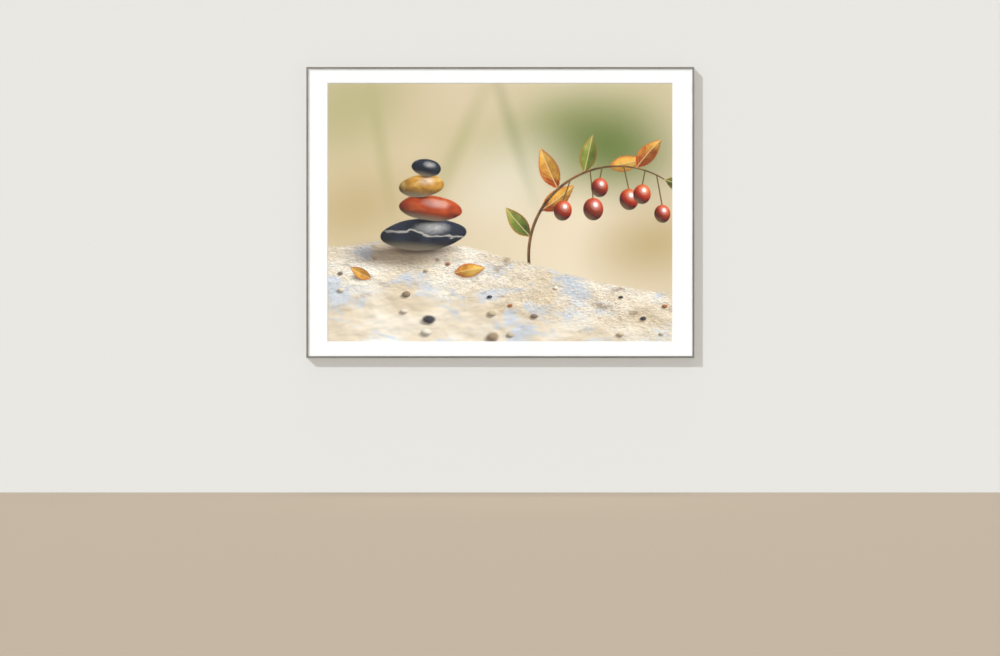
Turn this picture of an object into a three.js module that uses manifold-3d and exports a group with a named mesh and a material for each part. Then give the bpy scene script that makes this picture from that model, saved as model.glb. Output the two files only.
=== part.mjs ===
// A framed picture for a wall: a slim anodised aluminium frame holds glass, a bevelled window mat,
// a print and a backing board. Bow springs press that stack forward from behind.
//
// Millimetres, +Z up. +X is the viewer's right and +Y points from the frame's face to the wall.
// The origin is the centre of the frame's outline, on the wall's surface.
//
// Each side of the frame is built in its own rail frame, which starts at a corner of the outline:
// X runs inward from the outer face, Y is the depth behind the front face and Z runs along the rail.
import * as THREE from "three";
import { mergeVertices } from "three/addons/utils/BufferGeometryUtils.js";
import Module from "manifold-3d";

// Outline and depth of the whole frame
const FRAME_WIDTH = 1016;
const FRAME_HEIGHT = 762;
const OVERALL_DEPTH = 26;
const GAP = 0.3;

// Rail section, as distances inward from the outer face and depths behind the front face
const RAIL_DEPTH = 24;
const FACE_WIDTH = 4.8;
const FRONT_LIP = 1.8;
const OUTER_WALL = 1.5;
const WEB = 1.2;
const WEB_DEPTH = 14.4;
const CHANNEL_REACH = 12.5;
const SLOT_START = 3.8;
const SLOT_WIDTH = 5.2;
const OUTER_ROUND = 0.8;
const SIGHT_CHAMFER = 0.4;

// The window that shows the picture, measured at the back of the mat
const WINDOW_WIDTH = 902;
const WINDOW_HEIGHT = 676;

// Sheets of the stack, front to back
const SHEET_CLEARANCE = 1;
const GLASS_THICKNESS = 2;
const MAT_THICKNESS = 2.4;
const PRINT_THICKNESS = 0.6;
const PRINT_MARGIN = 15;
const BACKING_THICKNESS = 3;

// Corner angles and the screws that lock them in the channel
const ANGLE_ARM = 30;
const ANGLE_THICKNESS = 2.2;
const ANGLE_REAR_DEPTH = 20.7;
const ANGLE_CHAMFER = 3;
const SCREW_REACH = 24;
const SCREW_RADIUS = 2;
const SCREW_POINT = 0.3;
const SCREW_SLOT_WIDTH = 0.7;
const SCREW_SLOT_DEPTH = 1.1;
const SCREW_SIDES = 20;

// Bow springs between the channel and the backing board
const SPRING_LENGTH = 56;
const SPRING_WIDTH = 11;
const SPRING_THICKNESS = 0.5;
const SPRING_SHOWS = 4.5;
const SPRING_STEPS = 12;

// Sawtooth hangers on the top rail
const HANGER_OFFSET = FRAME_WIDTH / 4;
const HANGER_WIDTH = 50;
const HANGER_OUTER_EDGE = 1.6;
const HANGER_TOOTH_EDGE = 24;
const HANGER_THICKNESS = 1.2;
const HANGER_CORNER = 4;
const HANGER_FOOT_WIDTH = 24;
const TOOTH_COUNT = 7;
const TOOTH_PITCH = 5;
const TOOTH_DEPTH = 1.8;
const TOOTH_CREST = 1;
const TOOTH_FLANK = 1;

// Bumpers that hold the frame off the wall
const BUMPER_RADIUS = 5.5;
const BUMPER_ROUND = 0.8;
const BUMPER_FROM_CORNER = 62;
const BUMPER_SIDES = 32;

// Depths that follow from the sizes above
const FRONT_Y = -OVERALL_DEPTH;
const CHANNEL_FLOOR = WEB_DEPTH + WEB;
const LIP_INSIDE = RAIL_DEPTH - WEB;
const CHANNEL_WALL = CHANNEL_REACH - WEB;
const SLOT_END = SLOT_START + SLOT_WIDTH;
const SLOT_CENTRE = (SLOT_START + SLOT_END) / 2;
const GLASS_DEPTH = FRONT_LIP + GAP;
const MAT_DEPTH = GLASS_DEPTH + GLASS_THICKNESS + GAP;
const PRINT_DEPTH = MAT_DEPTH + MAT_THICKNESS + GAP;
const BACKING_DEPTH = PRINT_DEPTH + PRINT_THICKNESS + GAP;
const BACKING_REAR = BACKING_DEPTH + BACKING_THICKNESS;
const SHEET_WIDTH = FRAME_WIDTH - 2 * (OUTER_WALL + SHEET_CLEARANCE);
const SHEET_HEIGHT = FRAME_HEIGHT - 2 * (OUTER_WALL + SHEET_CLEARANCE);

const anodised = new THREE.MeshStandardMaterial({ color: 0x817f76, metalness: 0.9, roughness: 0.35 });
const glass = new THREE.MeshStandardMaterial({ color: 0xf4f8f7, roughness: 0.03, transparent: true, opacity: 0.2 });
const matBoard = new THREE.MeshStandardMaterial({ color: 0xfdfdfb, roughness: 0.95 });
const printPaper = new THREE.MeshStandardMaterial({ color: 0xcdbd93, roughness: 0.6 });
const hardboard = new THREE.MeshStandardMaterial({ color: 0x8d6a49, roughness: 0.85 });
const zincSteel = new THREE.MeshStandardMaterial({ color: 0xb9bcbf, metalness: 1, roughness: 0.4 });
const springSteel = new THREE.MeshStandardMaterial({ color: 0x8f9498, metalness: 1, roughness: 0.3 });
const rubber = new THREE.MeshStandardMaterial({ color: 0x2b2b2a, roughness: 0.8 });

const wasm = await Module();
wasm.setup();

function toSolid(geometry) {
  const bare = geometry.clone().deleteAttribute("normal").deleteAttribute("uv");
  const merged = mergeVertices(bare, 1e-4);
  const mesh = new wasm.Mesh({
    numProp: 3,
    vertProperties: new Float32Array(merged.attributes.position.array),
    triVerts: new Uint32Array(merged.index.array),
  });
  return new wasm.Manifold(mesh);
}

function toGeometry(solid) {
  const mesh = solid.getMesh();
  const geometry = new THREE.BufferGeometry();
  geometry.setAttribute("position", new THREE.BufferAttribute(mesh.vertProperties, 3));
  geometry.setIndex(new THREE.BufferAttribute(mesh.triVerts, 1));
  geometry.computeVertexNormals();
  return geometry;
}

function named(name, geometry, material) {
  const mesh = new THREE.Mesh(geometry, material);
  mesh.name = name;
  return mesh;
}

function extrude(shape, depth, curveSegments = 4) {
  return new THREE.ExtrudeGeometry(shape, { depth, bevelEnabled: false, steps: 1, curveSegments });
}

// A plate whose outline lies in the XZ plane and whose thickness runs along +Y from 0.
function plate(shape, thickness, curveSegments) {
  return extrude(shape, thickness, curveSegments)
    .rotateX(Math.PI / 2)
    .translate(0, thickness, 0);
}

// Rails

function railSection() {
  const section = new THREE.Shape();
  section.moveTo(OUTER_ROUND, 0);
  section.lineTo(FACE_WIDTH - SIGHT_CHAMFER, 0);
  section.lineTo(FACE_WIDTH, SIGHT_CHAMFER);
  section.lineTo(FACE_WIDTH, FRONT_LIP);
  section.lineTo(OUTER_WALL, FRONT_LIP);
  section.lineTo(OUTER_WALL, WEB_DEPTH);
  section.lineTo(CHANNEL_REACH, WEB_DEPTH);
  section.lineTo(CHANNEL_REACH, RAIL_DEPTH);
  section.lineTo(SLOT_END, RAIL_DEPTH);
  section.lineTo(SLOT_END, LIP_INSIDE);
  section.lineTo(CHANNEL_WALL, LIP_INSIDE);
  section.lineTo(CHANNEL_WALL, CHANNEL_FLOOR);
  section.lineTo(OUTER_WALL, CHANNEL_FLOOR);
  section.lineTo(OUTER_WALL, LIP_INSIDE);
  section.lineTo(SLOT_START, LIP_INSIDE);
  section.lineTo(SLOT_START, RAIL_DEPTH);
  section.lineTo(0, RAIL_DEPTH);
  section.lineTo(0, OUTER_ROUND);
  section.absarc(OUTER_ROUND, OUTER_ROUND, OUTER_ROUND, Math.PI, 1.5 * Math.PI);
  return section;
}

// The section run along the rail, with each end mitred at 45 degrees.
function railGeometry(length) {
  const geometry = extrude(railSection(), length);
  const relief = (GAP / 2) * Math.SQRT2;
  const position = geometry.attributes.position;
  for (let i = 0; i < position.count; i += 1) {
    const mitre = position.getX(i) + relief;
    const atStart = position.getZ(i) < length / 2;
    position.setZ(i, atStart ? mitre : length - mitre);
  }
  return geometry;
}

// Corner hardware, around the corner where a rail frame starts

function cornerAngle() {
  const near = OUTER_WALL + GAP;
  const far = CHANNEL_WALL - GAP;
  const reach = near + ANGLE_ARM;
  const outline = new THREE.Shape();
  outline.moveTo(near + ANGLE_CHAMFER, near);
  outline.lineTo(reach, near);
  outline.lineTo(reach, far);
  outline.lineTo(far, far);
  outline.lineTo(far, reach);
  outline.lineTo(near, reach);
  outline.lineTo(near, near + ANGLE_CHAMFER);
  outline.closePath();
  for (const [x, z] of screwPlaces()) {
    const hole = new THREE.Path();
    hole.absarc(x, z, SCREW_RADIUS + GAP, 0, 2 * Math.PI);
    outline.holes.push(hole);
  }
  return plate(outline, ANGLE_THICKNESS, SCREW_SIDES / 2);
}

function screwPlaces() {
  return [
    [SLOT_CENTRE, SCREW_REACH],
    [SCREW_REACH, SLOT_CENTRE],
  ];
}

function setScrew() {
  const length = RAIL_DEPTH - 2 * GAP - CHANNEL_FLOOR - GAP;
  const profile = [
    [0, 0],
    [SCREW_RADIUS - SCREW_POINT, 0],
    [SCREW_RADIUS, SCREW_POINT],
    [SCREW_RADIUS, length - SCREW_POINT],
    [SCREW_RADIUS - SCREW_POINT, length],
    [0, length],
  ].map(([radius, height]) => new THREE.Vector2(radius, height));
  const shank = toSolid(new THREE.LatheGeometry(profile, SCREW_SIDES));
  const cutter = new THREE.BoxGeometry(3 * SCREW_RADIUS, 2 * SCREW_SLOT_DEPTH, SCREW_SLOT_WIDTH);
  return toGeometry(shank.subtract(toSolid(cutter.translate(0, length, 0))));
}

// Bow spring: a thin strip that touches the board at its middle and the channel at both ends

function bowSpring() {
  const half = SPRING_LENGTH / 2;
  const rise = WEB_DEPTH - BACKING_REAR - 2 * GAP - SPRING_THICKNESS;
  const bow = (along) => rise * (along / half) ** 2;
  const stations = Array.from(
    { length: SPRING_STEPS + 1 },
    (_, step) => -half + (step * SPRING_LENGTH) / SPRING_STEPS,
  );
  const front = stations.map((along) => new THREE.Vector2(along, bow(along)));
  const rear = stations.map((along) => new THREE.Vector2(along, bow(along) + SPRING_THICKNESS));
  const strip = new THREE.Shape([...front, ...rear.reverse()]);
  return extrude(strip, SPRING_WIDTH).rotateY(-Math.PI / 2);
}

// Sawtooth hanger: a toothed plate behind the rail, hooked under the lip of the channel's slot

function hangerPlate() {
  const half = HANGER_WIDTH / 2;
  const root = HANGER_TOOTH_EDGE - TOOTH_DEPTH;
  const outline = new THREE.Shape();
  outline.moveTo(HANGER_OUTER_EDGE, -half);
  outline.lineTo(HANGER_TOOTH_EDGE - HANGER_CORNER, -half);
  outline.absarc(HANGER_TOOTH_EDGE - HANGER_CORNER, HANGER_CORNER - half, HANGER_CORNER, -Math.PI / 2, 0);
  for (let tooth = 0; tooth < TOOTH_COUNT; tooth += 1) {
    const centre = (tooth - (TOOTH_COUNT - 1) / 2) * TOOTH_PITCH;
    const mouth = (TOOTH_PITCH - TOOTH_CREST) / 2;
    outline.lineTo(HANGER_TOOTH_EDGE, centre - mouth);
    outline.lineTo(root, centre - mouth + TOOTH_FLANK);
    outline.lineTo(root, centre + mouth - TOOTH_FLANK);
    outline.lineTo(HANGER_TOOTH_EDGE, centre + mouth);
  }
  outline.absarc(HANGER_TOOTH_EDGE - HANGER_CORNER, half - HANGER_CORNER, HANGER_CORNER, 0, Math.PI / 2);
  outline.lineTo(HANGER_OUTER_EDGE, half);
  outline.closePath();
  return plate(outline, HANGER_THICKNESS).translate(0, RAIL_DEPTH + GAP, 0);
}

function hangerHook() {
  const footRear = LIP_INSIDE - GAP;
  const footFront = footRear - HANGER_THICKNESS;
  const legStart = SLOT_CENTRE - HANGER_THICKNESS / 2;
  const legEnd = legStart + HANGER_THICKNESS;
  const sunk = RAIL_DEPTH + GAP + HANGER_THICKNESS / 2;
  const hook = new THREE.Shape();
  hook.moveTo(legStart, footFront);
  hook.lineTo(CHANNEL_WALL - GAP, footFront);
  hook.lineTo(CHANNEL_WALL - GAP, footRear);
  hook.lineTo(legEnd, footRear);
  hook.lineTo(legEnd, sunk);
  hook.lineTo(legStart, sunk);
  hook.closePath();
  return extrude(hook, HANGER_FOOT_WIDTH).translate(0, 0, -HANGER_FOOT_WIDTH / 2);
}

function hanger() {
  return toGeometry(toSolid(hangerPlate()).add(toSolid(hangerHook())));
}

// Rubber bumper: a low round pad with a rounded edge and a flat crown on the wall

function bumper() {
  const height = OVERALL_DEPTH - RAIL_DEPTH - GAP;
  const crown = BUMPER_RADIUS - BUMPER_ROUND;
  const profile = new THREE.Path();
  profile.moveTo(0, 0);
  profile.lineTo(BUMPER_RADIUS, 0);
  profile.lineTo(BUMPER_RADIUS, height - BUMPER_ROUND);
  profile.absarc(crown, height - BUMPER_ROUND, BUMPER_ROUND, 0, Math.PI / 2);
  profile.lineTo(0, height);
  return new THREE.LatheGeometry(profile.getPoints(4), BUMPER_SIDES);
}

// The stack of sheets

function sheet(width, height, thickness, depth) {
  return new THREE.BoxGeometry(width, thickness, height).translate(0, FRONT_Y + depth + thickness / 2, 0);
}

function rectangle(width, height, kind) {
  const corners = [
    [-width / 2, -height / 2],
    [width / 2, -height / 2],
    [width / 2, height / 2],
    [-width / 2, height / 2],
  ].map(([x, z]) => new THREE.Vector2(x, z));
  return new kind(corners);
}

// The mat's window is cut at 45 degrees, so it is wider in front by the board's thickness all round.
function windowMat() {
  const outline = rectangle(SHEET_WIDTH, SHEET_HEIGHT, THREE.Shape);
  outline.holes.push(rectangle(WINDOW_WIDTH, WINDOW_HEIGHT, THREE.Path));
  const board = plate(outline, MAT_THICKNESS);
  const position = board.attributes.position;
  for (let i = 0; i < position.count; i += 1) {
    const [x, y, z] = [position.getX(i), position.getY(i), position.getZ(i)];
    const onFront = y < MAT_THICKNESS / 2;
    const onWindow = Math.abs(x) < WINDOW_WIDTH / 2 + 1;
    if (onFront && onWindow) {
      position.setX(i, x + Math.sign(x) * MAT_THICKNESS);
      position.setZ(i, z + Math.sign(z) * MAT_THICKNESS);
    }
  }
  return board.translate(0, FRONT_Y + MAT_DEPTH, 0);
}

const framedPicture = new THREE.Group();
framedPicture.add(named("glazing", sheet(SHEET_WIDTH, SHEET_HEIGHT, GLASS_THICKNESS, GLASS_DEPTH), glass));
framedPicture.add(named("window_mat", windowMat(), matBoard));
const printWidth = WINDOW_WIDTH + 2 * PRINT_MARGIN;
const printHeight = WINDOW_HEIGHT + 2 * PRINT_MARGIN;
framedPicture.add(named("print", sheet(printWidth, printHeight, PRINT_THICKNESS, PRINT_DEPTH), printPaper));
const backing = sheet(SHEET_WIDTH, SHEET_HEIGHT, BACKING_THICKNESS, BACKING_DEPTH);
framedPicture.add(named("backing_board", backing, hardboard));

// The four sides, each in a rail frame turned by a further quarter turn, clockwise from the lower left
const sides = [
  { side: "left", corner: "bottom_left", length: FRAME_HEIGHT, x: -1, z: -1, springs: [0.27, 0.73] },
  { side: "top", corner: "top_left", length: FRAME_WIDTH, x: -1, z: 1, springs: [0.18, 0.5, 0.82] },
  { side: "right", corner: "top_right", length: FRAME_HEIGHT, x: 1, z: 1, springs: [0.27, 0.73] },
  { side: "bottom", corner: "bottom_right", length: FRAME_WIDTH, x: 1, z: -1, springs: [0.18, 0.5, 0.82] },
];

sides.forEach(({ side, corner, length, x, z, springs }, turn) => {
  const rail = new THREE.Group();
  rail.position.set((x * FRAME_WIDTH) / 2, FRONT_Y, (z * FRAME_HEIGHT) / 2);
  rail.rotation.y = (turn * Math.PI) / 2;
  rail.add(named(`rail_${side}`, railGeometry(length), anodised));

  const angle = named(`corner_angle_${corner}`, cornerAngle(), zincSteel);
  angle.position.y = ANGLE_REAR_DEPTH - ANGLE_THICKNESS;
  rail.add(angle);
  screwPlaces().forEach(([inward, along], index) => {
    const screw = named(`set_screw_${corner}_${index + 1}`, setScrew(), zincSteel);
    screw.position.set(inward, CHANNEL_FLOOR + GAP, along);
    screw.rotation.y = Math.PI / 5 + index;
    rail.add(screw);
  });

  springs.forEach((share, index) => {
    const spring = named(`bow_spring_${side}_${index + 1}`, bowSpring(), springSteel);
    spring.position.set(CHANNEL_REACH + SPRING_SHOWS, BACKING_REAR + GAP, share * length);
    rail.add(spring);
  });

  if (side === "top") {
    for (const [end, offset] of [["left", -HANGER_OFFSET], ["right", HANGER_OFFSET]]) {
      const piece = named(`hanger_${end}`, hanger(), zincSteel);
      piece.position.z = length / 2 + offset;
      rail.add(piece);
    }
  }
  if (side === "top" || side === "bottom") {
    [BUMPER_FROM_CORNER, length - BUMPER_FROM_CORNER].forEach((along, index) => {
      const pad = named(`bumper_${side}_${index + 1}`, bumper(), rubber);
      pad.position.set(SLOT_CENTRE, RAIL_DEPTH + GAP, along);
      rail.add(pad);
    });
  }
  framedPicture.add(rail);
});

export default framedPicture;
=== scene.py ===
"""A framed picture on a wall: brushed rails, glass, a window mat, a print and the rear hardware.

Everything is in metres with +Z up. The wall's surface is at Y = 0 and the frame's face looks along -Y.
"""
import math

import bpy
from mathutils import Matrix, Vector


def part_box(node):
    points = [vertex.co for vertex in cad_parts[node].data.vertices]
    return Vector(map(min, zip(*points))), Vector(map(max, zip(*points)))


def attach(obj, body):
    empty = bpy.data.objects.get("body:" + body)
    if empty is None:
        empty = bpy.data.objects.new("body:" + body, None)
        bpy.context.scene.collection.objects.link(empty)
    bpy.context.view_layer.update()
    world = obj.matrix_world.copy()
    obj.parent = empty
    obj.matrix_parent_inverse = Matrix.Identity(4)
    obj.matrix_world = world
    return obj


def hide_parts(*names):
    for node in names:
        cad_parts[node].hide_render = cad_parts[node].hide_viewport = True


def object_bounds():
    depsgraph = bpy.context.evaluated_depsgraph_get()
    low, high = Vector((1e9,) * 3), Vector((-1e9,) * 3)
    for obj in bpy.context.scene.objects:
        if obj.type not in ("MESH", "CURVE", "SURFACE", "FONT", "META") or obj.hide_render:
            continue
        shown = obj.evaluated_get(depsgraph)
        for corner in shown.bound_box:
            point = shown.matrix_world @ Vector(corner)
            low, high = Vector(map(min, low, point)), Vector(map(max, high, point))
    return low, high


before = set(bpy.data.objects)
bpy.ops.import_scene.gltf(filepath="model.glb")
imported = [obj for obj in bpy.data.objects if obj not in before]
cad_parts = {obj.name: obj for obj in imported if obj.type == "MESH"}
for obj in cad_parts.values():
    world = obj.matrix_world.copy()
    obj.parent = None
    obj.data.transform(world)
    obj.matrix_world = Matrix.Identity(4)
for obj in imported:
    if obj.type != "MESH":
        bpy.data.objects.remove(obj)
cad_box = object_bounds()

MILLIMETRE = 0.001
FACE_Y = cad_box[0].y
FRAME_WIDTH = cad_box[1].x - cad_box[0].x

# The window in the mat lies this far inside the print's edge
PRINT_MARGIN = 15 * MILLIMETRE
PRINT_LOW, PRINT_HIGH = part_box("print")
PRINT_WIDTH, _, PRINT_HEIGHT = PRINT_HIGH - PRINT_LOW
WINDOW_WIDTH = PRINT_WIDTH - 2 * PRINT_MARGIN
WINDOW_HEIGHT = PRINT_HEIGHT - 2 * PRINT_MARGIN

# The photograph in pixels: its size, the framed picture's middle and width, and the floor's far edge
IMAGE_WIDTH, IMAGE_HEIGHT = 1000, 656
FRAME_MIDDLE_PIXEL = (500.3, 212.44)
FRAME_WIDTH_PIXELS = 388.0
FLOOR_PIXEL = 493

# The photograph's scale at the frame's face
METRES_PER_PIXEL = FRAME_WIDTH / FRAME_WIDTH_PIXELS


# Shader fields: sums and products of node outputs, written as formulas

def feed(tree, socket, value):
    """Joins a socket to a field's output, or sets it to a number, vector or colour."""
    if isinstance(value, Field):
        tree.links.new(value.output, socket)
    elif socket.type == "RGBA":
        socket.default_value = (*value, 1.0)
    else:
        socket.default_value = value


def add_node(tree, kind, inputs=(), output=0, **settings):
    """Adds a shader node with its settings, feeds its inputs and gives one of its outputs as a field."""
    node = tree.nodes.new(kind)
    for name, value in settings.items():
        setattr(node, name, value)
    for key, value in dict(inputs).items():
        feed(tree, node.inputs[key], value)
    return Field(tree, node.outputs[output])


class Field:
    """A number, vector, colour or shader that varies over a surface: one output of a shader node."""

    def __init__(self, tree, output):
        self.tree = tree
        self.output = output

    def math(self, operation, *others):
        return add_node(self.tree, "ShaderNodeMath", enumerate((self, *others)), operation=operation)

    def __add__(self, other):
        return self.math("ADD", other)

    def __sub__(self, other):
        return self.math("SUBTRACT", other)

    def __mul__(self, other):
        return self.math("MULTIPLY", other)

    def __truediv__(self, other):
        return self.math("DIVIDE", other)

    def __abs__(self):
        return self.math("ABSOLUTE")

    def __rsub__(self, other):
        return self.math("MULTIPLY_ADD", -1.0, other)

    __radd__ = __add__
    __rmul__ = __mul__

    def root(self):
        return self.math("SQRT")

    def sine(self):
        return self.math("SINE")

    def step(self, low, high, start=0.0, end=1.0):
        """Rises smoothly from start to end as the field goes from low to high."""
        inputs = {"Value": self, "From Min": low, "From Max": high, "To Min": start, "To Max": end}
        return add_node(self.tree, "ShaderNodeMapRange", inputs, interpolation_type="SMOOTHSTEP")

    def placed(self, centre=(0, 0, 0), scale=(1, 1, 1), turn=0.0):
        """The coordinates as seen from a centre, turned in the XZ plane, in steps of a scale."""
        inputs = {"Vector": self, "Location": centre, "Rotation": (0.0, -turn, 0.0), "Scale": scale}
        return add_node(self.tree, "ShaderNodeMapping", inputs, vector_type="TEXTURE")

    def noise(self, scale, detail=3.0, roughness=0.5, distortion=0.0):
        inputs = {
            "Vector": self,
            "Scale": scale,
            "Detail": detail,
            "Roughness": roughness,
            "Distortion": distortion,
        }
        return add_node(self.tree, "ShaderNodeTexNoise", inputs)

    def cells(self, scale):
        """Distance to the nearest of many scattered points."""
        inputs = {"Vector": self, "Scale": scale}
        return add_node(self.tree, "ShaderNodeTexVoronoi", inputs, "Distance")

    def split(self):
        """The three parts of a vector or colour."""
        parts = add_node(self.tree, "ShaderNodeSeparateXYZ", {0: self}).output.node.outputs
        return [Field(self.tree, part) for part in parts]

    def mix(self, other, factor, blend="MIX"):
        """This colour with another laid over it."""
        return mixed(self.tree, self, other, factor, blend)

    def lit(self, brightness):
        """This colour times a brightness."""
        return mixed(self.tree, (0.0, 0.0, 0.0), self, brightness)

    def ramp(self, *stops):
        """A colour ramp over the field, from (place, colour) stops."""
        node = self.tree.nodes.new("ShaderNodeValToRGB")
        elements = node.color_ramp.elements
        while len(elements) < len(stops):
            elements.new(0.5)
        for element, (place, colour) in zip(elements, stops):
            element.position = place
            element.color = (*colour, 1.0)
        feed(self.tree, node.inputs[0], self)
        return Field(self.tree, node.outputs[0])

    def bump(self, strength, height):
        """A surface normal from this field as a relief of a height in metres."""
        inputs = {"Height": self, "Strength": strength, "Distance": height}
        return add_node(self.tree, "ShaderNodeBump", inputs)


# Places of a mix node's factor and colours among its inputs, and of the colour among its outputs
MIX_FACTOR, MIX_UNDER, MIX_OVER = 0, 6, 7
MIX_COLOUR = 2


def mixed(tree, under, over, factor, blend="MIX"):
    """One colour with another laid over it by a factor, which may pass 1."""
    node = tree.nodes.new("ShaderNodeMix")
    node.data_type = "RGBA"
    node.blend_type = blend
    node.clamp_factor = False
    for place, value in ((MIX_FACTOR, factor), (MIX_UNDER, under), (MIX_OVER, over)):
        feed(tree, node.inputs[place], value)
    return Field(tree, node.outputs[MIX_COLOUR])


def object_point(tree):
    return add_node(tree, "ShaderNodeTexCoord", output="Object")


def srgb(red, green, blue):
    """A linear colour from the three 0 to 255 levels that a screen shows."""
    def linear(level):
        share = level / 255
        return share / 12.92 if share <= 0.04045 else ((share + 0.055) / 1.055) ** 2.4
    return tuple(linear(level) for level in (red, green, blue))


def new_material(name, shade, *details):
    """A material whose surface is what shade makes in its node tree."""
    material = bpy.data.materials.new(name)
    material.use_nodes = True
    tree = material.node_tree
    tree.nodes.clear()
    surface = shade(tree, *details)
    feed(tree, tree.nodes.new("ShaderNodeOutputMaterial").inputs["Surface"], surface)
    return material


def principled(tree, colour, roughness, normal, metallic=0.0, specular=0.5):
    inputs = {
        "Base Color": colour,
        "Roughness": roughness,
        "Normal": normal,
        "Metallic": metallic,
        "Specular IOR Level": specular,
    }
    return add_node(tree, "ShaderNodeBsdfPrincipled", inputs)


# The printed picture. Its places and sizes are in picture heights, measured from its middle.

CREAM = srgb(234, 218, 190)
SAND = srgb(216, 198, 167)
TAN = srgb(215, 197, 162)
PALE = srgb(247, 241, 229)
OLIVE = srgb(164, 163, 106)
GREEN = srgb(102, 120, 58)
OCHRE = srgb(192, 170, 122)
BLUE_GREY = srgb(194, 208, 226)
BROWN = srgb(138, 110, 76)
RUST = srgb(190, 76, 32)
AMBER = srgb(212, 156, 64)
CHALK_LOW = srgb(218, 200, 171)
CHALK = srgb(232, 218, 195)
CHALK_HIGH = srgb(245, 237, 223)
SHADE = srgb(92, 72, 56)
GLINT = (1.0, 0.97, 0.92)

# The direction towards the picture's light, and the seam between its two halves
PICTURE_LIGHT = (0.42, 0.72, 0.55)
PICTURE_SPLIT = -0.03


def turned(direction, angle):
    """A direction as seen from axes that are turned by an angle in the picture's plane."""
    x, y, z = direction
    cosine, sine = math.cos(angle), math.sin(angle)
    return (x * cosine + y * sine, y * cosine - x * sine, z)


class Place:
    """Where a point of the picture lies: across and up from its middle, in picture heights."""

    def __init__(self, tree):
        self.tree = tree
        self.point = object_point(tree)
        across, _, up = self.point.split()
        self.x = across * (1 / WINDOW_HEIGHT)
        self.y = up * (1 / WINDOW_HEIGHT)

    def within(self, centre, radii, angle=0.0):
        """How far along and across from a centre the point is, on axes turned by an angle, in radii."""
        cosine, sine = math.cos(angle), math.sin(angle)
        ahead = centre[0] * cosine + centre[1] * sine
        aside = centre[1] * cosine - centre[0] * sine
        along_y = self.y.math("MULTIPLY_ADD", sine / radii[0], -ahead / radii[0])
        along = self.x.math("MULTIPLY_ADD", cosine / radii[0], along_y)
        across_y = self.y.math("MULTIPLY_ADD", cosine / radii[1], -aside / radii[1])
        across = self.x.math("MULTIPLY_ADD", -sine / radii[1], across_y)
        return along, across

    def reach(self, centre, radii, angle=0.0):
        """Distance from an ellipse's centre, which is 1 on its outline."""
        return far(*self.within(centre, radii, angle))

    def texture(self, shift=(0.0, 0.0), stretch=(1.0, 1.0), angle=0.0):
        """Coordinates for a pattern, in picture heights, shifted and stretched across and up."""
        centre = (shift[0] * WINDOW_HEIGHT, 0.0, shift[1] * WINDOW_HEIGHT)
        scale = (stretch[0] * WINDOW_HEIGHT, 1.0, stretch[1] * WINDOW_HEIGHT)
        return self.point.placed(centre, scale, angle)


def far(along, across):
    """Distance from the place where both coordinates are 0."""
    return (along * along + across * across).root()


def dome(reach):
    """Height of a round form above the picture's plane, which falls to 0 on its outline."""
    return (1.0 - reach * reach).root()


def toward(direction, along, across, height):
    """How far a surface, given by its normal's three parts, faces a direction."""
    part = height * direction[2]
    part = across.math("MULTIPLY_ADD", direction[1], part)
    return along.math("MULTIPLY_ADD", direction[0], part)


def half_way(light):
    """The direction half way between the light and the viewer."""
    x, y, z = light
    length = math.hypot(x, y, z + 1.0)
    return (x / length, y / length, (z + 1.0) / length)


def paint(tree, under, name, painter, *details):
    """Lays one painted layer over a colour, in a node group of its own."""
    group = bpy.data.node_groups.new(name, "ShaderNodeTree")
    group.interface.new_socket("Under", in_out="INPUT", socket_type="NodeSocketColor")
    group.interface.new_socket("Painted", in_out="OUTPUT", socket_type="NodeSocketColor")
    below = Field(group, group.nodes.new("NodeGroupInput").outputs["Under"])
    painted = painter(Place(group), below, *details)
    feed(group, group.nodes.new("NodeGroupOutput").inputs["Painted"], painted)
    return add_node(tree, "ShaderNodeGroup", output="Painted", inputs={"Under": under}, node_tree=group)


# Soft patches of the meadow, the last three of them stalks: middle, radii, tilt, tint and strength
MEADOW_PATCHES = [
    ((0.30, 0.34), (0.62, 0.34), 0.15, OLIVE, 0.80),
    ((0.42, 0.26), (0.40, 0.24), -0.35, GREEN, 0.95),
    ((-0.58, 0.42), (0.44, 0.26), 0.5, OLIVE, 0.60),
    ((-0.55, 0.02), (0.34, 0.20), 0.2, OCHRE, 0.8),
    ((0.60, -0.12), (0.34, 0.20), 0.2, OCHRE, 0.9),
    ((-0.10, 0.46), (0.30, 0.16), 0.0, SAND, 0.6),
    ((0.02, 0.12), (0.30, 0.20), 0.6, PALE, 0.35),
    ((-0.16, 0.26), (0.05, 0.42), -0.42, OLIVE, 0.40),
    ((0.04, 0.34), (0.04, 0.40), 0.30, GREEN, 0.28),
    ((-0.46, 0.24), (0.04, 0.36), 0.16, OLIVE, 0.35),
]


def soft_meadow(place, _):
    """Out-of-focus meadow: warm tan, with soft olive and green patches and a few blurred stalks."""
    drift = place.texture().noise(1.3, 2.0)
    colour = (place.x + drift * 0.5).ramp((0.0, TAN), (0.55, CREAM), (1.0, SAND))
    for centre, radii, angle, tint, strength in MEADOW_PATCHES:
        reach = place.reach(centre, radii, angle) + drift * 0.6
        colour = colour.mix(tint, reach.step(1.45, 0.25, 0.0, strength))
    return colour


def ground_line(across):
    """Height of the bank's far edge: a low crest on the left that falls away to the right."""
    return across.step(0.70, -0.42, -0.31, -0.10) + across.step(-0.30, -0.72, 0.0, -0.035)


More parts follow.
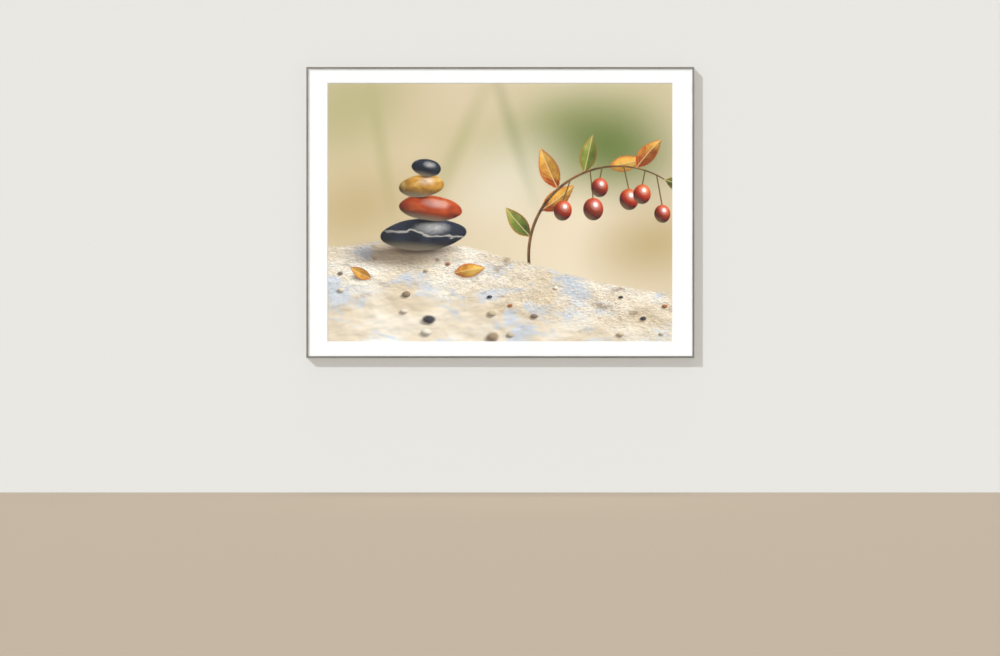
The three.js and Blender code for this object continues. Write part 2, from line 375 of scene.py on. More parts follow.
def sandy_bank(place, under):
    """Sandy stone with blue-grey patches: grains in focus near the crest, and a blurred foreground."""
    squat = (1.0, 0.53)
    bank = place.texture(stretch=squat)

    def sunward_rise(step, *pattern):
        """How much a noise pattern rises over a step towards the light."""
        shift = (-step * PICTURE_LIGHT[0], -step * PICTURE_LIGHT[1])
        return bank.noise(*pattern) - place.texture(shift, squat).noise(*pattern)

    depth = ground_line(place.x) - place.y
    focus = depth.step(0.27, 0.10, 0.06, 1.0)
    colour = bank.noise(3.4, 3.0, 0.55).ramp((0.34, CHALK_LOW), (0.50, CHALK), (0.66, CHALK_HIGH))
    patch = place.texture((3.1, 1.7), squat).noise(4.4, 6.0, 0.66, 0.4)
    colour = colour.mix(BLUE_GREY, patch.step(0.50, 0.62, 0.0, 0.70))
    pits = place.texture((1.4, 5.2), squat).noise(13.0, 5.0, 0.65)
    colour = colour.mix(BROWN, pits.step(0.56, 0.72, 0.0, 0.75) * (focus * 0.8 + 0.2))
    specks = place.texture((2.2, 0.7), squat).noise(95.0, 3.0, 0.75)
    drift = place.texture((0.6, 3.3)).noise(5.0, 2.0)
    colour = colour.mix(BROWN, (specks * 0.7 + drift * 0.3).step(0.545, 0.66, 0.0, 0.62) * focus)
    fine = sunward_rise(0.0030, 78.0, 5.0, 0.72)
    broad = sunward_rise(0.016, 11.0, 2.0, 0.6)
    grain = bank.cells(85.0)
    shade = 1.0 + fine * focus * 2.2 + broad * 0.8 - (grain - 0.42) * focus * 0.26
    ragged = depth + (place.texture().noise(24.0, 4.0, 0.6) - 0.5) * 0.012
    return under.mix(colour.lit(shade), ragged.step(-0.006, 0.006))


# Tones of the pebbles, each with its place in their range
PEBBLE_TONES = [
    (0.12, srgb(66, 66, 72)),
    (0.28, srgb(150, 128, 104)),
    (0.50, SAND),
    (0.72, PALE),
    (0.88, srgb(176, 104, 66)),
]


def strewn_pebbles(place, under):
    """Small stones on the bank, each with its shadow, larger and less sharp towards the viewer."""
    flat = add_node(place.tree, "ShaderNodeCombineXYZ", {"X": place.x, "Y": place.y})
    inputs = {"Vector": flat, "Scale": 12.0, "Randomness": 0.7}
    cell = add_node(place.tree, "ShaderNodeTexVoronoi", inputs, "Position", voronoi_dimensions="2D")
    chance, tone, squash = Field(place.tree, cell.output.node.outputs["Color"]).split()
    centre_x, centre_y, _ = cell.split()
    depth = ground_line(centre_x) - centre_y
    radius = depth.step(0.02, 0.40, 0.009, 0.022) * (chance * 1.8 - 0.5)
    present = chance.step(0.58, 0.60) * depth.step(0.024, 0.030)
    along = (place.x - centre_x) / radius
    across = (place.y - centre_y) / radius
    shadow = far(along * 0.72 + 0.30, across * 1.1 + 0.45).step(1.0, 0.3, 0.0, 0.7) * present
    under = under.mix(SHADE, shadow, "MULTIPLY")
    across = across * squash.step(0.0, 1.0, 1.25, 1.8)
    reach = far(along, across) + (place.texture().noise(34.0, 2.0) - 0.5) * 0.5
    facing = toward(PICTURE_LIGHT, along, across, dome(reach))
    body = tone.ramp(*PEBBLE_TONES).lit(facing.step(-0.3, 1.0, 0.35, 1.15))
    blur = depth.step(0.16, 0.40, 0.0, 0.4)
    return under.mix(body, reach.step(blur + 1.0, 0.88 - blur) * present)


def soft_shadow(place, under, centre, radii, strength):
    """A soft dark patch on what is already painted."""
    return under.mix(SHADE, place.reach(centre, radii).step(1.0, 0.2, 0.0, strength), "MULTIPLY")


def stone(place, under, centre, radii, angle, tones, seed, vein):
    """A smooth water-worn stone, with faint layers, a grainy surface and at times a pale vein."""
    along, across = place.within(centre, radii, angle)
    rock = place.texture((seed * 0.37, seed * 0.21), (radii[0], radii[0] * 0.7), angle)
    reach = far(along, across) + (rock.noise(1.1, 1.0) - 0.5) * 0.22
    height = dome(reach)
    light = turned(PICTURE_LIGHT, angle)
    blotch = rock.noise(1.6, 5.0, 0.62, 0.5)
    grain = rock.noise(26.0, 3.0, 0.7)
    layers = ((across * 1.3 + along * 0.25 + blotch * 3.2) * 6.0).sine()
    body = blotch.ramp((0.30, tones[0]), (0.52, tones[1]), (0.74, tones[2]))
    body = body.lit(grain * 0.8 + layers * 0.05 + 0.6)
    if vein:
        band = abs(across + along * 0.45 + blotch * 1.3 - vein)
        body = body.mix(srgb(214, 208, 196), band.step(0.09, 0.02, 0.0, 0.7))
    relief = (blotch - 0.5) * 0.35
    body = body.lit((toward(light, along, across, height) + relief).step(-0.45, 0.95, 0.08, 1.16))
    gloss = toward(half_way(light), along, across, height) + (grain - 0.5) * 0.14 + relief * 0.2
    body = body.mix(GLINT, gloss.step(0.84, 1.08, 0.0, 0.42) + gloss.step(0.975, 1.03, 0.0, 0.22))
    bounce = toward(turned((-0.25, -1.0, 0.1), angle), along, across, height)
    body = body.mix(SAND, bounce.step(0.45, 1.05, 0.0, 0.24))
    return under.mix(body, reach.step(1.0, 0.972))


def leaf(place, under, foot, length, angle, tones, seed):
    """A pointed leaf that bends a little, with a folded midrib, side veins and a toothed edge."""
    half = length / 2
    centre = (foot[0] + half * math.cos(angle), foot[1] + half * math.sin(angle))
    along, straight = place.within(centre, (half, half * 0.44), angle)
    bend = 0.45 * math.sin(1.7 * seed + 0.8)
    across = straight + (along + 1.0) * (along + 1.0) * (bend * 0.25)
    width = abs(across)
    teeth = (along * 34.0 + seed).sine() * 0.03
    inside = (1.0 - along * along) * (1.0 - along * 0.25) + teeth - width
    blotch = place.texture((seed, seed * 0.7)).noise(16.0, 4.0, 0.6)
    body = (blotch + along * 0.18).ramp((0.30, tones[0]), (0.52, tones[1]), (0.72, tones[2]))
    body = body.mix(tones[3], inside.step(0.34, 0.0, 0.0, 0.8))
    veins = ((along - width * 0.55) * 30.0).sine().step(0.70, 1.0, 0.0, 0.34)
    body = body.mix(tones[2], veins)
    body = body.mix(srgb(226, 204, 140), width.step(0.07, 0.02, 0.0, 0.8))
    body = body.lit(across.step(-0.12, 0.12, 0.66, 1.08) + (1.0 - width) * 0.1)
    return under.mix(body, inside.step(0.0, 0.05) * abs(along).step(1.02, 0.98))


def berry(place, under, start, centre, radius, angle, seed):
    """A glossy ripe berry on a thin stalk from its start, with a dark calyx at its lower end."""
    top = (centre[0], centre[1] + radius * 0.9)
    run, rise = top[0] - start[0], top[1] - start[1]
    middle = ((top[0] + start[0]) / 2, (top[1] + start[1]) / 2)
    stalk_radii = (math.hypot(run, rise) / 2, 0.0026)
    along, across = place.within(middle, stalk_radii, math.atan2(rise, run))
    stalk = across.ramp((0.0, srgb(92, 70, 34)), (1.0, srgb(150, 116, 62)))
    under = under.mix(stalk, abs(along).step(1.03, 0.97) * abs(across).step(1.2, 0.75))
    along, across = place.within(centre, (radius * 1.12, radius), angle)
    reach = far(along, across)
    height = dome(reach)
    light = turned(PICTURE_LIGHT, angle)
    ripeness = 0.85 + 0.15 * math.sin(2.6 * seed)
    dark = srgb(70, 16, 16)
    ripe = srgb(178 * ripeness, 44, 22)
    bright = srgb(234, 122 * ripeness, 52)
    mottle = place.texture((seed, seed * 2.0)).noise(30.0, 4.0, 0.6)
    facing = toward(light, along, across, height) + (mottle - 0.5) * 0.25
    body = facing.ramp((0.0, dark), (0.45, ripe), (1.0, bright)).lit(mottle * 0.4 + 0.78)
    calyx = far((along + 0.93) * 3.3, across * 3.3)
    body = body.mix(srgb(38, 24, 20), calyx.step(1.0, 0.6))
    gloss = toward(half_way(light), along, across, height)
    body = body.mix(GLINT, gloss.step(0.80, 1.0, 0.0, 0.22) + gloss.step(0.955, 0.99, 0.0, 0.75))
    bounce = toward(turned((-0.5, -0.85, 0.15), angle), along, across, height)
    body = body.mix(OCHRE, bounce.step(0.5, 1.0, 0.0, 0.22))
    return under.mix(body, reach.step(1.0, 0.95))


# Dark, middle and light tones of the stones
SLATE = (srgb(22, 26, 36), srgb(42, 48, 62), srgb(84, 90, 104))
BRICK = (srgb(120, 40, 18), srgb(186, 72, 28), srgb(224, 132, 70))
HONEY = (srgb(146, 96, 34), srgb(206, 152, 62), srgb(236, 200, 120))
BASALT = (srgb(18, 21, 30), srgb(34, 39, 52), srgb(66, 72, 86))

# Stones from the bottom up: middle, radii, tilt, tones, seed of the pattern and place of a vein
CAIRN = [
    ((-0.300, -0.085), (0.170, 0.062), 0.05, SLATE, 1.0, 0.65),
    ((-0.272, 0.018), (0.122, 0.050), -0.08, BRICK, 2.0, None),
    ((-0.305, 0.104), (0.090, 0.043), 0.10, HONEY, 3.0, None),
    ((-0.286, 0.174), (0.058, 0.034), -0.16, BASALT, 4.0, None),
]

# Shadows on the bank round the lowest stone: middle, radii and strength
CAIRN_SHADOWS = [
    ((-0.400, -0.165), (0.30, 0.070), 0.75),
    ((-0.305, -0.140), (0.185, 0.034), 0.90),
]

# The arc that the sprig's stem follows
ARC_CENTRE = (0.455, -0.165)
ARC_RADIUS = 0.345


def on_arc(degrees):
    """A place on the sprig's stem, by its angle round the arc's centre."""
    angle = math.radians(degrees)
    x = ARC_CENTRE[0] + ARC_RADIUS * math.cos(angle)
    y = ARC_CENTRE[1] + ARC_RADIUS * math.sin(angle)
    return x, y


def stem(place, under):
    """The sprig's arching stem, which thins towards its tip."""
    offset = place.reach(ARC_CENTRE, (1.0, 1.0)) - ARC_RADIUS
    side = offset / place.x.step(0.10, 0.62, 0.0062, 0.0028)
    inside = abs(side).step(1.15, 0.75) * place.x.step(0.640, 0.632) * place.y.step(-0.235, -0.215)
    bark = place.texture().noise(30.0, 3.0).ramp((0.35, srgb(74, 50, 34)), (0.65, srgb(140, 98, 58)))
    return under.mix(bark.lit(side.step(-1.0, 1.0, 0.55, 1.35)), inside)


# Dark, middle, light and rim tones of a leaf
AUTUMN = (srgb(150, 60, 22), AMBER, srgb(238, 190, 92), RUST)
SUMMER = (srgb(66, 82, 34), srgb(112, 128, 52), srgb(170, 172, 86), srgb(176, 112, 44))

# Leaves: place on the arc in degrees, length, direction and tones
LEAVES = [
    (168, 0.150, 2.35, SUMMER),
    (150, 0.165, 0.55, AUTUMN),
    (132, 0.175, 2.05, AUTUMN),
    (112, 0.150, 1.35, SUMMER),
    (96, 0.140, 0.15, AUTUMN),
    (78, 0.150, 0.95, AUTUMN),
    (58, 0.130, -0.35, SUMMER),
]

# Leaves that lie on the bank: foot, length, direction and tones
FALLEN_LEAVES = [
    ((-0.180, -0.235), 0.125, 0.22, AUTUMN),
    ((-0.500, -0.255), 0.095, 2.75, AUTUMN),
]

# Berries: place on the arc in degrees, sway to the right, drop below the stem and radius
BERRIES = [
    (122, -0.030, 0.120, 0.036),
    (108, 0.012, 0.150, 0.040),
    (100, -0.010, 0.078, 0.034),
    (86, 0.020, 0.128, 0.038),
    (72, -0.012, 0.092, 0.035),
    (64, 0.022, 0.150, 0.032),
]


def bank_over(tree, colour):
    """The bank and its pebbles over what stands behind its crest."""
    colour = paint(tree, colour, "sandy_bank", sandy_bank)
    return paint(tree, colour, "strewn_pebbles", strewn_pebbles)


def cairn_half(tree):
    """The left of the picture: a pile of four worn stones on the bank's crest, with fallen leaves."""
    colour = bank_over(tree, paint(tree, CREAM, "soft_meadow", soft_meadow))
    for details in CAIRN_SHADOWS:
        colour = paint(tree, colour, "cairn_shadow", soft_shadow, *details)
    for number, details in enumerate(CAIRN, start=1):
        if number > 1:
            (x, y), (length, height) = details[:2]
            touch = (x - length * 0.06, y - height)
            radii = (length * 0.66, height * 0.30)
            colour = paint(tree, colour, "contact", soft_shadow, touch, radii, 0.9)
        colour = paint(tree, colour, f"stone_{number}", stone, *details)
    for seed, (foot, length, angle, tones) in enumerate(FALLEN_LEAVES):
        reach = 0.45 * length
        middle = (foot[0] + reach * math.cos(angle), foot[1] + reach * math.sin(angle) - 0.012)
        radii = (length * 0.62, length * 0.24)
        colour = paint(tree, colour, "leaf_shadow", soft_shadow, middle, radii, 0.85)
        colour = paint(tree, colour, "leaf", leaf, foot, length, angle, tones, seed * 3.1 + 1.0)
    return colour


def sprig_half(tree):
    """The right of the picture: an arching sprig with toothed leaves and berries."""
    colour = paint(tree, CREAM, "soft_meadow", soft_meadow)
    for seed, (degrees, length, angle, tones) in enumerate(LEAVES):
        colour = paint(tree, colour, "leaf", leaf, on_arc(degrees), length, angle, tones, seed * 2.3)
    colour = bank_over(tree, paint(tree, colour, "stem", stem))
    for seed, (degrees, sway, drop, radius) in enumerate(BERRIES):
        top = on_arc(degrees)
        middle = (top[0] + sway, top[1] - drop)
        lean = math.radians(90) + sway * 6
        colour = paint(tree, colour, "berry", berry, top, middle, radius, lean, seed * 1.9)
    return colour


# Materials

PAPER_WHITE = (0.90, 0.90, 0.885)

# The picture's ink ends this far outside the window, in an edge that is this soft
INK_BORDER = 5 * MILLIMETRE
INK_FEATHER = 0.2 * MILLIMETRE


def paper_tooth(tree, size, height):
    """Fine relief of paper fibres of a size in metres."""
    return object_point(tree).noise(1 / size, 4.0, 0.65).bump(0.6, height)


def inked_span(place, window):
    """1 where a place lies within the ink's width or height round a window, and 0 past it."""
    edge = window / 2 + INK_BORDER
    return abs(place).step(edge, edge - INK_FEATHER)


def printed_paper(tree, half):
    """Lustre photo paper: the picture with a white border round it."""
    point = object_point(tree)
    across, _, up = point.split()
    inked = inked_span(across, WINDOW_WIDTH) * inked_span(up, WINDOW_HEIGHT)
    film_grain = point.noise(380.0, 2.0, 0.6).step(0.3, 0.7, 0.965, 1.035)
    colour = mixed(tree, PAPER_WHITE, half(tree).lit(film_grain), inked)
    return principled(tree, colour, 0.42, paper_tooth(tree, 0.0011, 0.00002), specular=0.15)


def plain_paper(tree):
    """The back and edges of photo paper: white, with faint cloudy fibres."""
    cloud = object_point(tree).noise(60.0, 4.0, 0.6)
    colour = cloud.ramp((0.35, srgb(238, 237, 232)), (0.65, srgb(247, 246, 242)))
    roughness = cloud.step(0.3, 0.7, 0.55, 0.70)
    return principled(tree, colour, roughness, paper_tooth(tree, 0.0014, 0.00003))


def mat_board(tree):
    """White mat board with a matt, toothed face."""
    point = object_point(tree)
    cloud = point.noise(14.0, 3.0, 0.55)
    colour = cloud.ramp((0.3, (0.915, 0.915, 0.905)), (0.7, (0.945, 0.945, 0.935)))
    fleck = point.noise(420.0, 2.0, 0.7)
    colour = colour.lit(fleck.step(0.70, 0.80, 1.0, 0.93))
    return principled(tree, colour, 0.93, paper_tooth(tree, 0.0016, 0.00006), specular=0.2)


def anodised(tree, lengthwise):
    """Warm grey anodised aluminium, brushed along the rail, with a few faint scuffs."""
    stretch = tuple(40.0 if axis == lengthwise else 1.0 for axis in "xyz")
    point = object_point(tree)
    streaks = point.placed(scale=stretch).noise(1500.0, 3.0, 0.6)
    bands = point.placed(scale=stretch).noise(210.0, 3.0, 0.6)
    cloud = point.noise(7.0, 3.0, 0.5)
    tone = streaks * 0.30 + bands * 0.40 + cloud * 0.30
    colour = tone.ramp((0.36, srgb(107, 105, 99)), (0.64, srgb(132, 129, 123)))
    scuffs = point.placed(turn=0.6).noise(90.0, 6.0, 0.75, 1.2).step(0.70, 0.76)
    colour = colour.mix(srgb(168, 166, 158), scuffs * 0.35)
    roughness = streaks.step(0.3, 0.7, 0.32, 0.48)
    normal = (streaks + bands * 0.5).bump(0.5, 0.00002)
    return principled(tree, colour, roughness, normal, metallic=0.85)


def glass(tree):
    """Thin clear glazing: light passes straight through, apart from a faint reflection at a slant.

    Only the side that the light meets first mirrors it, since the light isn't bent inside the pane.
    """
    low_glare_index = 1.18
    smears = object_point(tree).noise(9.0, 5.0, 0.6).step(0.35, 0.75, 0.015, 0.05)
    gloss = add_node(tree, "ShaderNodeBsdfGlossy", {"Color": (1.0, 1.0, 1.0), "Roughness": smears})
    clear = add_node(tree, "ShaderNodeBsdfTransparent", {"Color": (0.997, 0.999, 0.998)})
    leaving = add_node(tree, "ShaderNodeNewGeometry", output="Backfacing")
    share = add_node(tree, "ShaderNodeFresnel", {"IOR": low_glare_index}) * (1.0 - leaving)
    return add_node(tree, "ShaderNodeMixShader", {0: share, 1: clear, 2: gloss})


def hardboard(tree):
    """Brown hardboard: pressed wood fibres of several sizes, faint clumps and a few pale shives."""
    point = object_point(tree)
    clumps = point.noise(30.0, 4.0, 0.6)
    fibres = point.placed(scale=(1.0, 1.0, 2.4), turn=0.5).noise(1100.0, 4.0, 0.75, 0.4)
    cross = point.placed(scale=(2.4, 1.0, 1.0), turn=-0.3).noise(1000.0, 4.0, 0.75, 0.4)
    tones = ((0.38, srgb(112, 84, 58)), (0.50, srgb(140, 109, 79)), (0.62, srgb(166, 134, 100)))
    colour = (clumps * 0.20 + fibres * 0.40 + cross * 0.40).ramp(*tones)
    shives = point.placed(scale=(1.0, 1.0, 6.0), turn=1.1).noise(420.0, 2.0, 0.6).step(0.72, 0.80)
    colour = colour.mix(srgb(190, 160, 122), shives * 0.5)
    pressed = (fibres + cross).bump(0.35, 0.00006)
    return principled(tree, colour, clumps.step(0.3, 0.7, 0.55, 0.75), pressed, specular=0.35)


def zinc_plate(tree):
    """Bright zinc plating: cool grey with fine rolling marks and a thin straw-coloured bloom."""
    point = object_point(tree)
    bloom = point.noise(70.0, 4.0, 0.6)
    marks = point.placed(scale=(14.0, 1.0, 1.0)).noise(1400.0, 3.0, 0.6)
    tones = ((0.36, srgb(166, 170, 174)), (0.52, srgb(184, 187, 190)), (0.66, srgb(194, 191, 180)))
    colour = (bloom * 0.5 + marks * 0.5).ramp(*tones)
    roughness = bloom * 0.12 + marks * 0.16 + 0.26
    return principled(tree, colour, roughness, marks.bump(0.35, 0.00002), metallic=1.0)


def blued_steel(tree):
    """Spring steel with a thin film of oil: grey that shades faintly to blue and straw."""
    point = object_point(tree)
    heat = point.noise(12.0, 1.0, 0.5)
    tones = ((0.38, srgb(158, 156, 150)), (0.50, srgb(156, 159, 164)), (0.62, srgb(142, 150, 164)))
    colour = heat.ramp(*tones)
    rolled = point.placed(scale=(10.0, 1.0, 10.0)).noise(1400.0, 2.0, 0.5)
    roughness = rolled.step(0.3, 0.7, 0.34, 0.44)
    return principled(tree, colour, roughness, rolled.bump(0.15, 0.00001), metallic=1.0)


def rubber(tree):
    """Matt dark rubber with a fine grain and a trace of dust."""
    point = object_point(tree)
    grain = point.noise(1200.0, 3.0, 0.6)
    dust = point.noise(120.0, 4.0, 0.6).step(0.55, 0.75)
    colour = grain.ramp((0.3, srgb(38, 38, 37)), (0.7, srgb(52, 51, 50)))
    colour = colour.mix(srgb(120, 116, 108), dust * 0.25)
    return principled(tree, colour, dust.step(0.0, 1.0, 0.7, 0.92), grain.bump(0.5, 0.00005))


FINISHES = {
    "rail_left": new_material("anodised_upright", anodised, "z"),
    "rail_top": new_material("anodised_level", anodised, "x"),
    "glazing": new_material("clear_glass", glass),
    "window_mat": new_material("white_mat", mat_board),
    "backing_board": new_material("brown_hardboard", hardboard),
    "corner_angle": new_material("zinc_plate", zinc_plate),
    "bow_spring": new_material("blued_steel", blued_steel),
    "bumper": new_material("dark_rubber", rubber),
}
FINISHES["rail_right"] = FINISHES["rail_left"]
FINISHES["rail_bottom"] = FINISHES["rail_top"]
FINISHES["set_screw"] = FINISHES["corner_angle"]
FINISHES["hanger"] = FINISHES["corner_angle"]

# Sheets whose edges stay sharp, as they are cut
SHEETS = ("glazing", "window_mat", "backing_board")

EDGE_ROUND = 0.12 * MILLIMETRE
EDGE_STEPS = 2
SHARP_ANGLE = math.radians(30)
WELD_REACH = 0.01 * MILLIMETRE


def finish_node(node):
    """Gives a CAD node its finish and lightly rounds its sharp edges."""
    finish = next(material for name, material in FINISHES.items() if node.name.startswith(name))
    node.data.materials.clear()
    node.data.materials.append(finish)
    if node.name in SHEETS:
        return
    weld = node.modifiers.new("weld", "WELD")
    weld.merge_threshold = WELD_REACH
    bevel = node.modifiers.new("edges", "BEVEL")
    bevel.width = EDGE_ROUND
    bevel.segments = EDGE_STEPS
    bevel.angle_limit = SHARP_ANGLE
    node.modifiers.new("shading", "WEIGHTED_NORMAL")


# The print: a thin sheet that lies a little wavy between the mat and the backing board

SHEET_THICKNESS = 0.26 * MILLIMETRE

# The waves' height, and their radians in a metre and first angle, each across and up
WAVE_HEIGHT = 0.12 * MILLIMETRE
WAVE_RATES = (7.3, 5.9)
WAVE_STARTS = (1.1, -0.4)

# The sheet's steps across the left and right of the picture, and up
LEFT_STEPS, RIGHT_STEPS, RISING_STEPS = 30, 32, 46

# The sheet's sides, and the places of its materials
FRONT, REAR = 0, 1
LEFT_PRINT, RIGHT_PRINT, PLAIN_PAPER = 0, 1, 2

# Space between the two sides on the map, as a share of it
MAP_GAP = 0.01


def spread(start, end, count):
    """Evenly spaced places from start to end, in count steps."""
    return [start + (end - start) * step / count for step in range(count + 1)]


def sheet_depth(x, z):
    """Depth of the sheet's middle plane at a place, which waves slowly across the sheet."""
    across = math.sin(WAVE_RATES[0] * x + WAVE_STARTS[0])
    up = math.cos(WAVE_RATES[1] * z + WAVE_STARTS[1])
    return (PRINT_LOW.y + PRINT_HIGH.y) / 2 + WAVE_HEIGHT * across * up


def print_sheet():
    """The printed sheet. Its front shows the picture in two halves, which share one seam."""
    seam = PICTURE_SPLIT * WINDOW_HEIGHT
    columns = spread(PRINT_LOW.x, seam, LEFT_STEPS)[:-1] + spread(seam, PRINT_HIGH.x, RIGHT_STEPS)
    rows = spread(PRINT_LOW.z, PRINT_HIGH.z, RISING_STEPS)
    half = SHEET_THICKNESS / 2
    width, height = len(columns), len(rows)
    front = [(x, sheet_depth(x, z) - half, z) for z in rows for x in columns]
    rear = [(x, sheet_depth(x, z) + half, z) for z in rows for x in columns]

    def corner(column, row, side):
        return side * width * height + row * width + column

    faces, finishes = [], []
    for row in range(height - 1):
        for column in range(width - 1):
            square = [(column, row), (column + 1, row), (column + 1, row + 1), (column, row + 1)]
            faces.append([corner(*place, FRONT) for place in square])
            finishes.append(LEFT_PRINT if column < LEFT_STEPS else RIGHT_PRINT)
            faces.append([corner(*place, REAR) for place in reversed(square)])
            finishes.append(PLAIN_PAPER)
    border = [(column, 0) for column in range(width)]
    border += [(width - 1, row) for row in range(1, height)]
    border += [(column, height - 1) for column in range(width - 2, -1, -1)]
    border += [(0, row) for row in range(height - 2, 0, -1)]
    for place, following in zip(border, border[1:] + border[:1]):
        edge = [(place, FRONT), (place, REAR), (following, REAR), (following, FRONT)]
        faces.append([corner(*spot, side) for spot, side in edge])
        finishes.append(PLAIN_PAPER)

    mesh = bpy.data.meshes.new("print_sheet")
    mesh.from_pydata(front + rear, [], faces)
    mesh.polygons.foreach_set("material_index", finishes)
    mesh.shade_smooth()
    mesh.materials.append(new_material("picture_left", printed_paper, cairn_half))
    mesh.materials.append(new_material("picture_right", printed_paper, sprig_half))
    mesh.materials.append(new_material("plain_paper", plain_paper))
    unwrap_sheet(mesh)
    sheet = bpy.data.objects.new("print_sheet", mesh)
    bpy.context.scene.collection.objects.link(sheet)
    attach(sheet, "root")
    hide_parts("print")


def unwrap_sheet(mesh):
    """Lays the front over most of the map, with the back squeezed in the strip above it."""
    layout = mesh.uv_layers.new(name="OFBake")
    front_share = PRINT_HEIGHT / PRINT_WIDTH
    rear_low = front_share + MAP_GAP
    rear_share = 1.0 - MAP_GAP - rear_low
    for polygon in mesh.polygons:
        on_rear = polygon.material_index == PLAIN_PAPER
        low, share = (rear_low, rear_share) if on_rear else (0.0, front_share)
        for loop in polygon.loop_indices:
            point = mesh.vertices[mesh.loops[loop].vertex_index].co
            across = (point.x - PRINT_LOW.x) / PRINT_WIDTH
            up = (point.z - PRINT_LOW.z) / PRINT_HEIGHT
            layout.data[loop].uv = (across, low + up * share)


# The camera, at the photograph's place in front of the wall

# Lens and sensor width in millimetres
LENS, SENSOR = 100.0, 36.0


def place_camera():
    away = METRES_PER_PIXEL * IMAGE_WIDTH * LENS / SENSOR
    camera = bpy.data.cameras.new("camera")
    camera.lens = LENS
    camera.sensor_width = SENSOR
    holder = bpy.data.objects.new("camera", camera)
    x = (IMAGE_WIDTH / 2 - FRAME_MIDDLE_PIXEL[0]) * METRES_PER_PIXEL
    z = (FRAME_MIDDLE_PIXEL[1] - IMAGE_HEIGHT / 2) * METRES_PER_PIXEL
    holder.location = (x, FACE_Y - away, z)
    holder.rotation_euler = (math.radians(90), 0.0, 0.0)
    bpy.context.scene.collection.objects.link(holder)
    bpy.context.scene.camera = holder


# The stage: a pale wall that is only seen from the front, and a pale floor

WALL_COLOUR = (0.743, 0.735, 0.699)
FLOOR_COLOUR = (0.624, 0.518, 0.399)
FLOOR_LEVEL = (FRAME_MIDDLE_PIXEL[1] - FLOOR_PIXEL) * METRES_PER_PIXEL
STAGE_REACH = 9.0
WALL_TOP = 6.0


def backdrop_paint(tree, colour):
    """A matt colour that shows on the front of a surface only."""
    flat = add_node(tree, "ShaderNodeBsdfDiffuse", {"Color": colour})
    clear = add_node(tree, "ShaderNodeBsdfTransparent")
    behind = add_node(tree, "ShaderNodeNewGeometry", output="Backfacing")
    return add_node(tree, "ShaderNodeMixShader", {0: behind, 1: flat, 2: clear})


def backdrop(name, corners, colour):
    mesh = bpy.data.meshes.new(name)
    mesh.from_pydata(corners, [], [(0, 1, 2, 3)])
    mesh.materials.append(new_material(name, backdrop_paint, colour))
    plane = bpy.data.objects.new(name, mesh)
    bpy.context.scene.collection.objects.link(plane)
    return plane


def build_stage():
    """Neither surface throws light or shadow on the other, so both stay even.

    The wall isn't mirrored, because the frame's rear faces would only mirror its dark front.
    """
    side = STAGE_REACH
    ends = [(-side, FLOOR_LEVEL), (side, FLOOR_LEVEL), (side, WALL_TOP), (-side, WALL_TOP)]
    wall = backdrop("wall", [(x, 0, z) for x, z in ends], WALL_COLOUR)
    ends = [(-side, -side), (side, -side), (side, side), (-side, side)]
    floor = backdrop("floor", [(x, y, FLOOR_LEVEL) for x, y in ends], FLOOR_COLOUR)
    for plane in (wall, floor):
        plane.visible_shadow = False
        plane.visible_diffuse = False
    wall.visible_glossy = False


# Light: a key from the upper left, an even fill, a dim room, and cards that only shiny surfaces mirror

NEUTRAL = (1.0, 1.0, 1.0)
COOL = (1.0, 1.05, 1.11)
WARM = (1.0, 0.956, 0.902)

# Suns: name, direction of travel, irradiance, spread in degrees, colour, and whether metal mirrors them
SUNS = [
    ("key", (25, 26, -25), 1.74, 2.4, COOL, True),
    ("fill", (0, 1, 0), 1.42, 12.0, WARM, False),
    ("overhead", (0, 0, -1), 0.80, 20.0, NEUTRAL, False),
    ("rear_key", (-0.5, -1.0, 0.10), 2.30, 6.0, NEUTRAL, False),
    ("rear_fill", (0.45, -1.0, 0.04), 1.40, 14.0, NEUTRAL, False),
]

# Cards: name and place
CARDS = [("front_card", (-1.0, -8.0, 0.6)), ("rear_card", (1.0, 8.0, 0.6))]
CARD_WIDTH, CARD_HEIGHT = 12.0, 8.0
CARD_BRIGHTNESS = 0.9

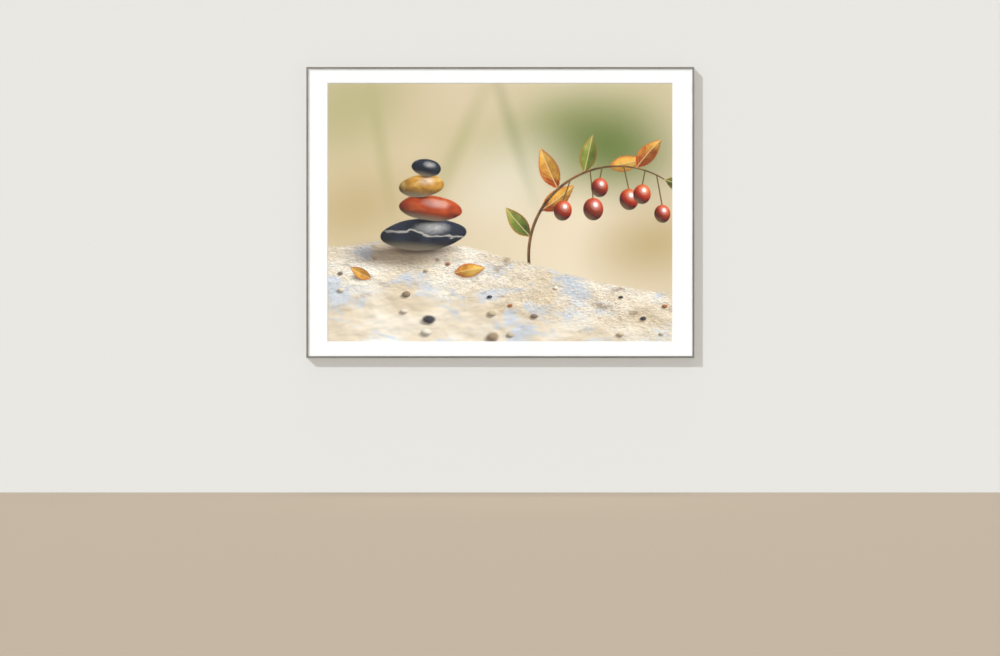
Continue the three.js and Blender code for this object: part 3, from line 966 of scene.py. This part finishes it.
# How bright the room is as light, and where it is seen or mirrored
ROOM_LIGHT = 0.31
ROOM_SEEN = 0.78


def aim(direction):
    """The rotation that points a light's -Z along a direction."""
    return Vector(direction).to_track_quat("-Z", "Y").to_euler()


def add_sun(name, direction, irradiance, spread_degrees, colour, mirrored):
    """A sun whose light travels along a direction."""
    sun = bpy.data.lights.new(name, "SUN")
    sun.color = colour
    sun.energy = irradiance
    sun.angle = math.radians(spread_degrees)
    holder = bpy.data.objects.new(name, sun)
    holder.rotation_euler = aim(direction)
    holder.visible_glossy = mirrored
    bpy.context.scene.collection.objects.link(holder)


def add_card(name, place):
    """A large soft light that faces the picture and shows only in reflections."""
    card = bpy.data.lights.new(name, "AREA")
    card.shape = "RECTANGLE"
    card.size, card.size_y = CARD_WIDTH, CARD_HEIGHT
    card.energy = CARD_BRIGHTNESS * math.pi * CARD_WIDTH * CARD_HEIGHT
    holder = bpy.data.objects.new(name, card)
    holder.location = place
    holder.rotation_euler = aim([-part for part in place])
    holder.visible_camera = False
    holder.visible_diffuse = False
    bpy.context.scene.collection.objects.link(holder)


def build_room():
    """A dim even room that looks pale where it is seen directly or mirrored."""
    world = bpy.data.worlds.new("room")
    world.use_nodes = True
    tree = world.node_tree
    seen = add_node(tree, "ShaderNodeLightPath", output="Is Camera Ray")
    mirrored = add_node(tree, "ShaderNodeLightPath", output="Is Glossy Ray")
    seen = seen.math("MAXIMUM", mirrored)
    feed(tree, tree.nodes["Background"].inputs["Color"], (1.0, 1.0, 1.0))
    feed(tree, tree.nodes["Background"].inputs["Strength"], seen.step(0.0, 1.0, ROOM_LIGHT, ROOM_SEEN))
    bpy.context.scene.world = world


def build_light():
    """Adds the lights and the room, and shows their colours without a film curve."""
    for sun in SUNS:
        add_sun(*sun)
    for card in CARDS:
        add_card(*card)
    build_room()
    bpy.context.scene.view_settings.view_transform = "Standard"


place_camera()
build_stage()
build_light()
for name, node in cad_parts.items():
    if name != "print":
        finish_node(node)
print_sheet()
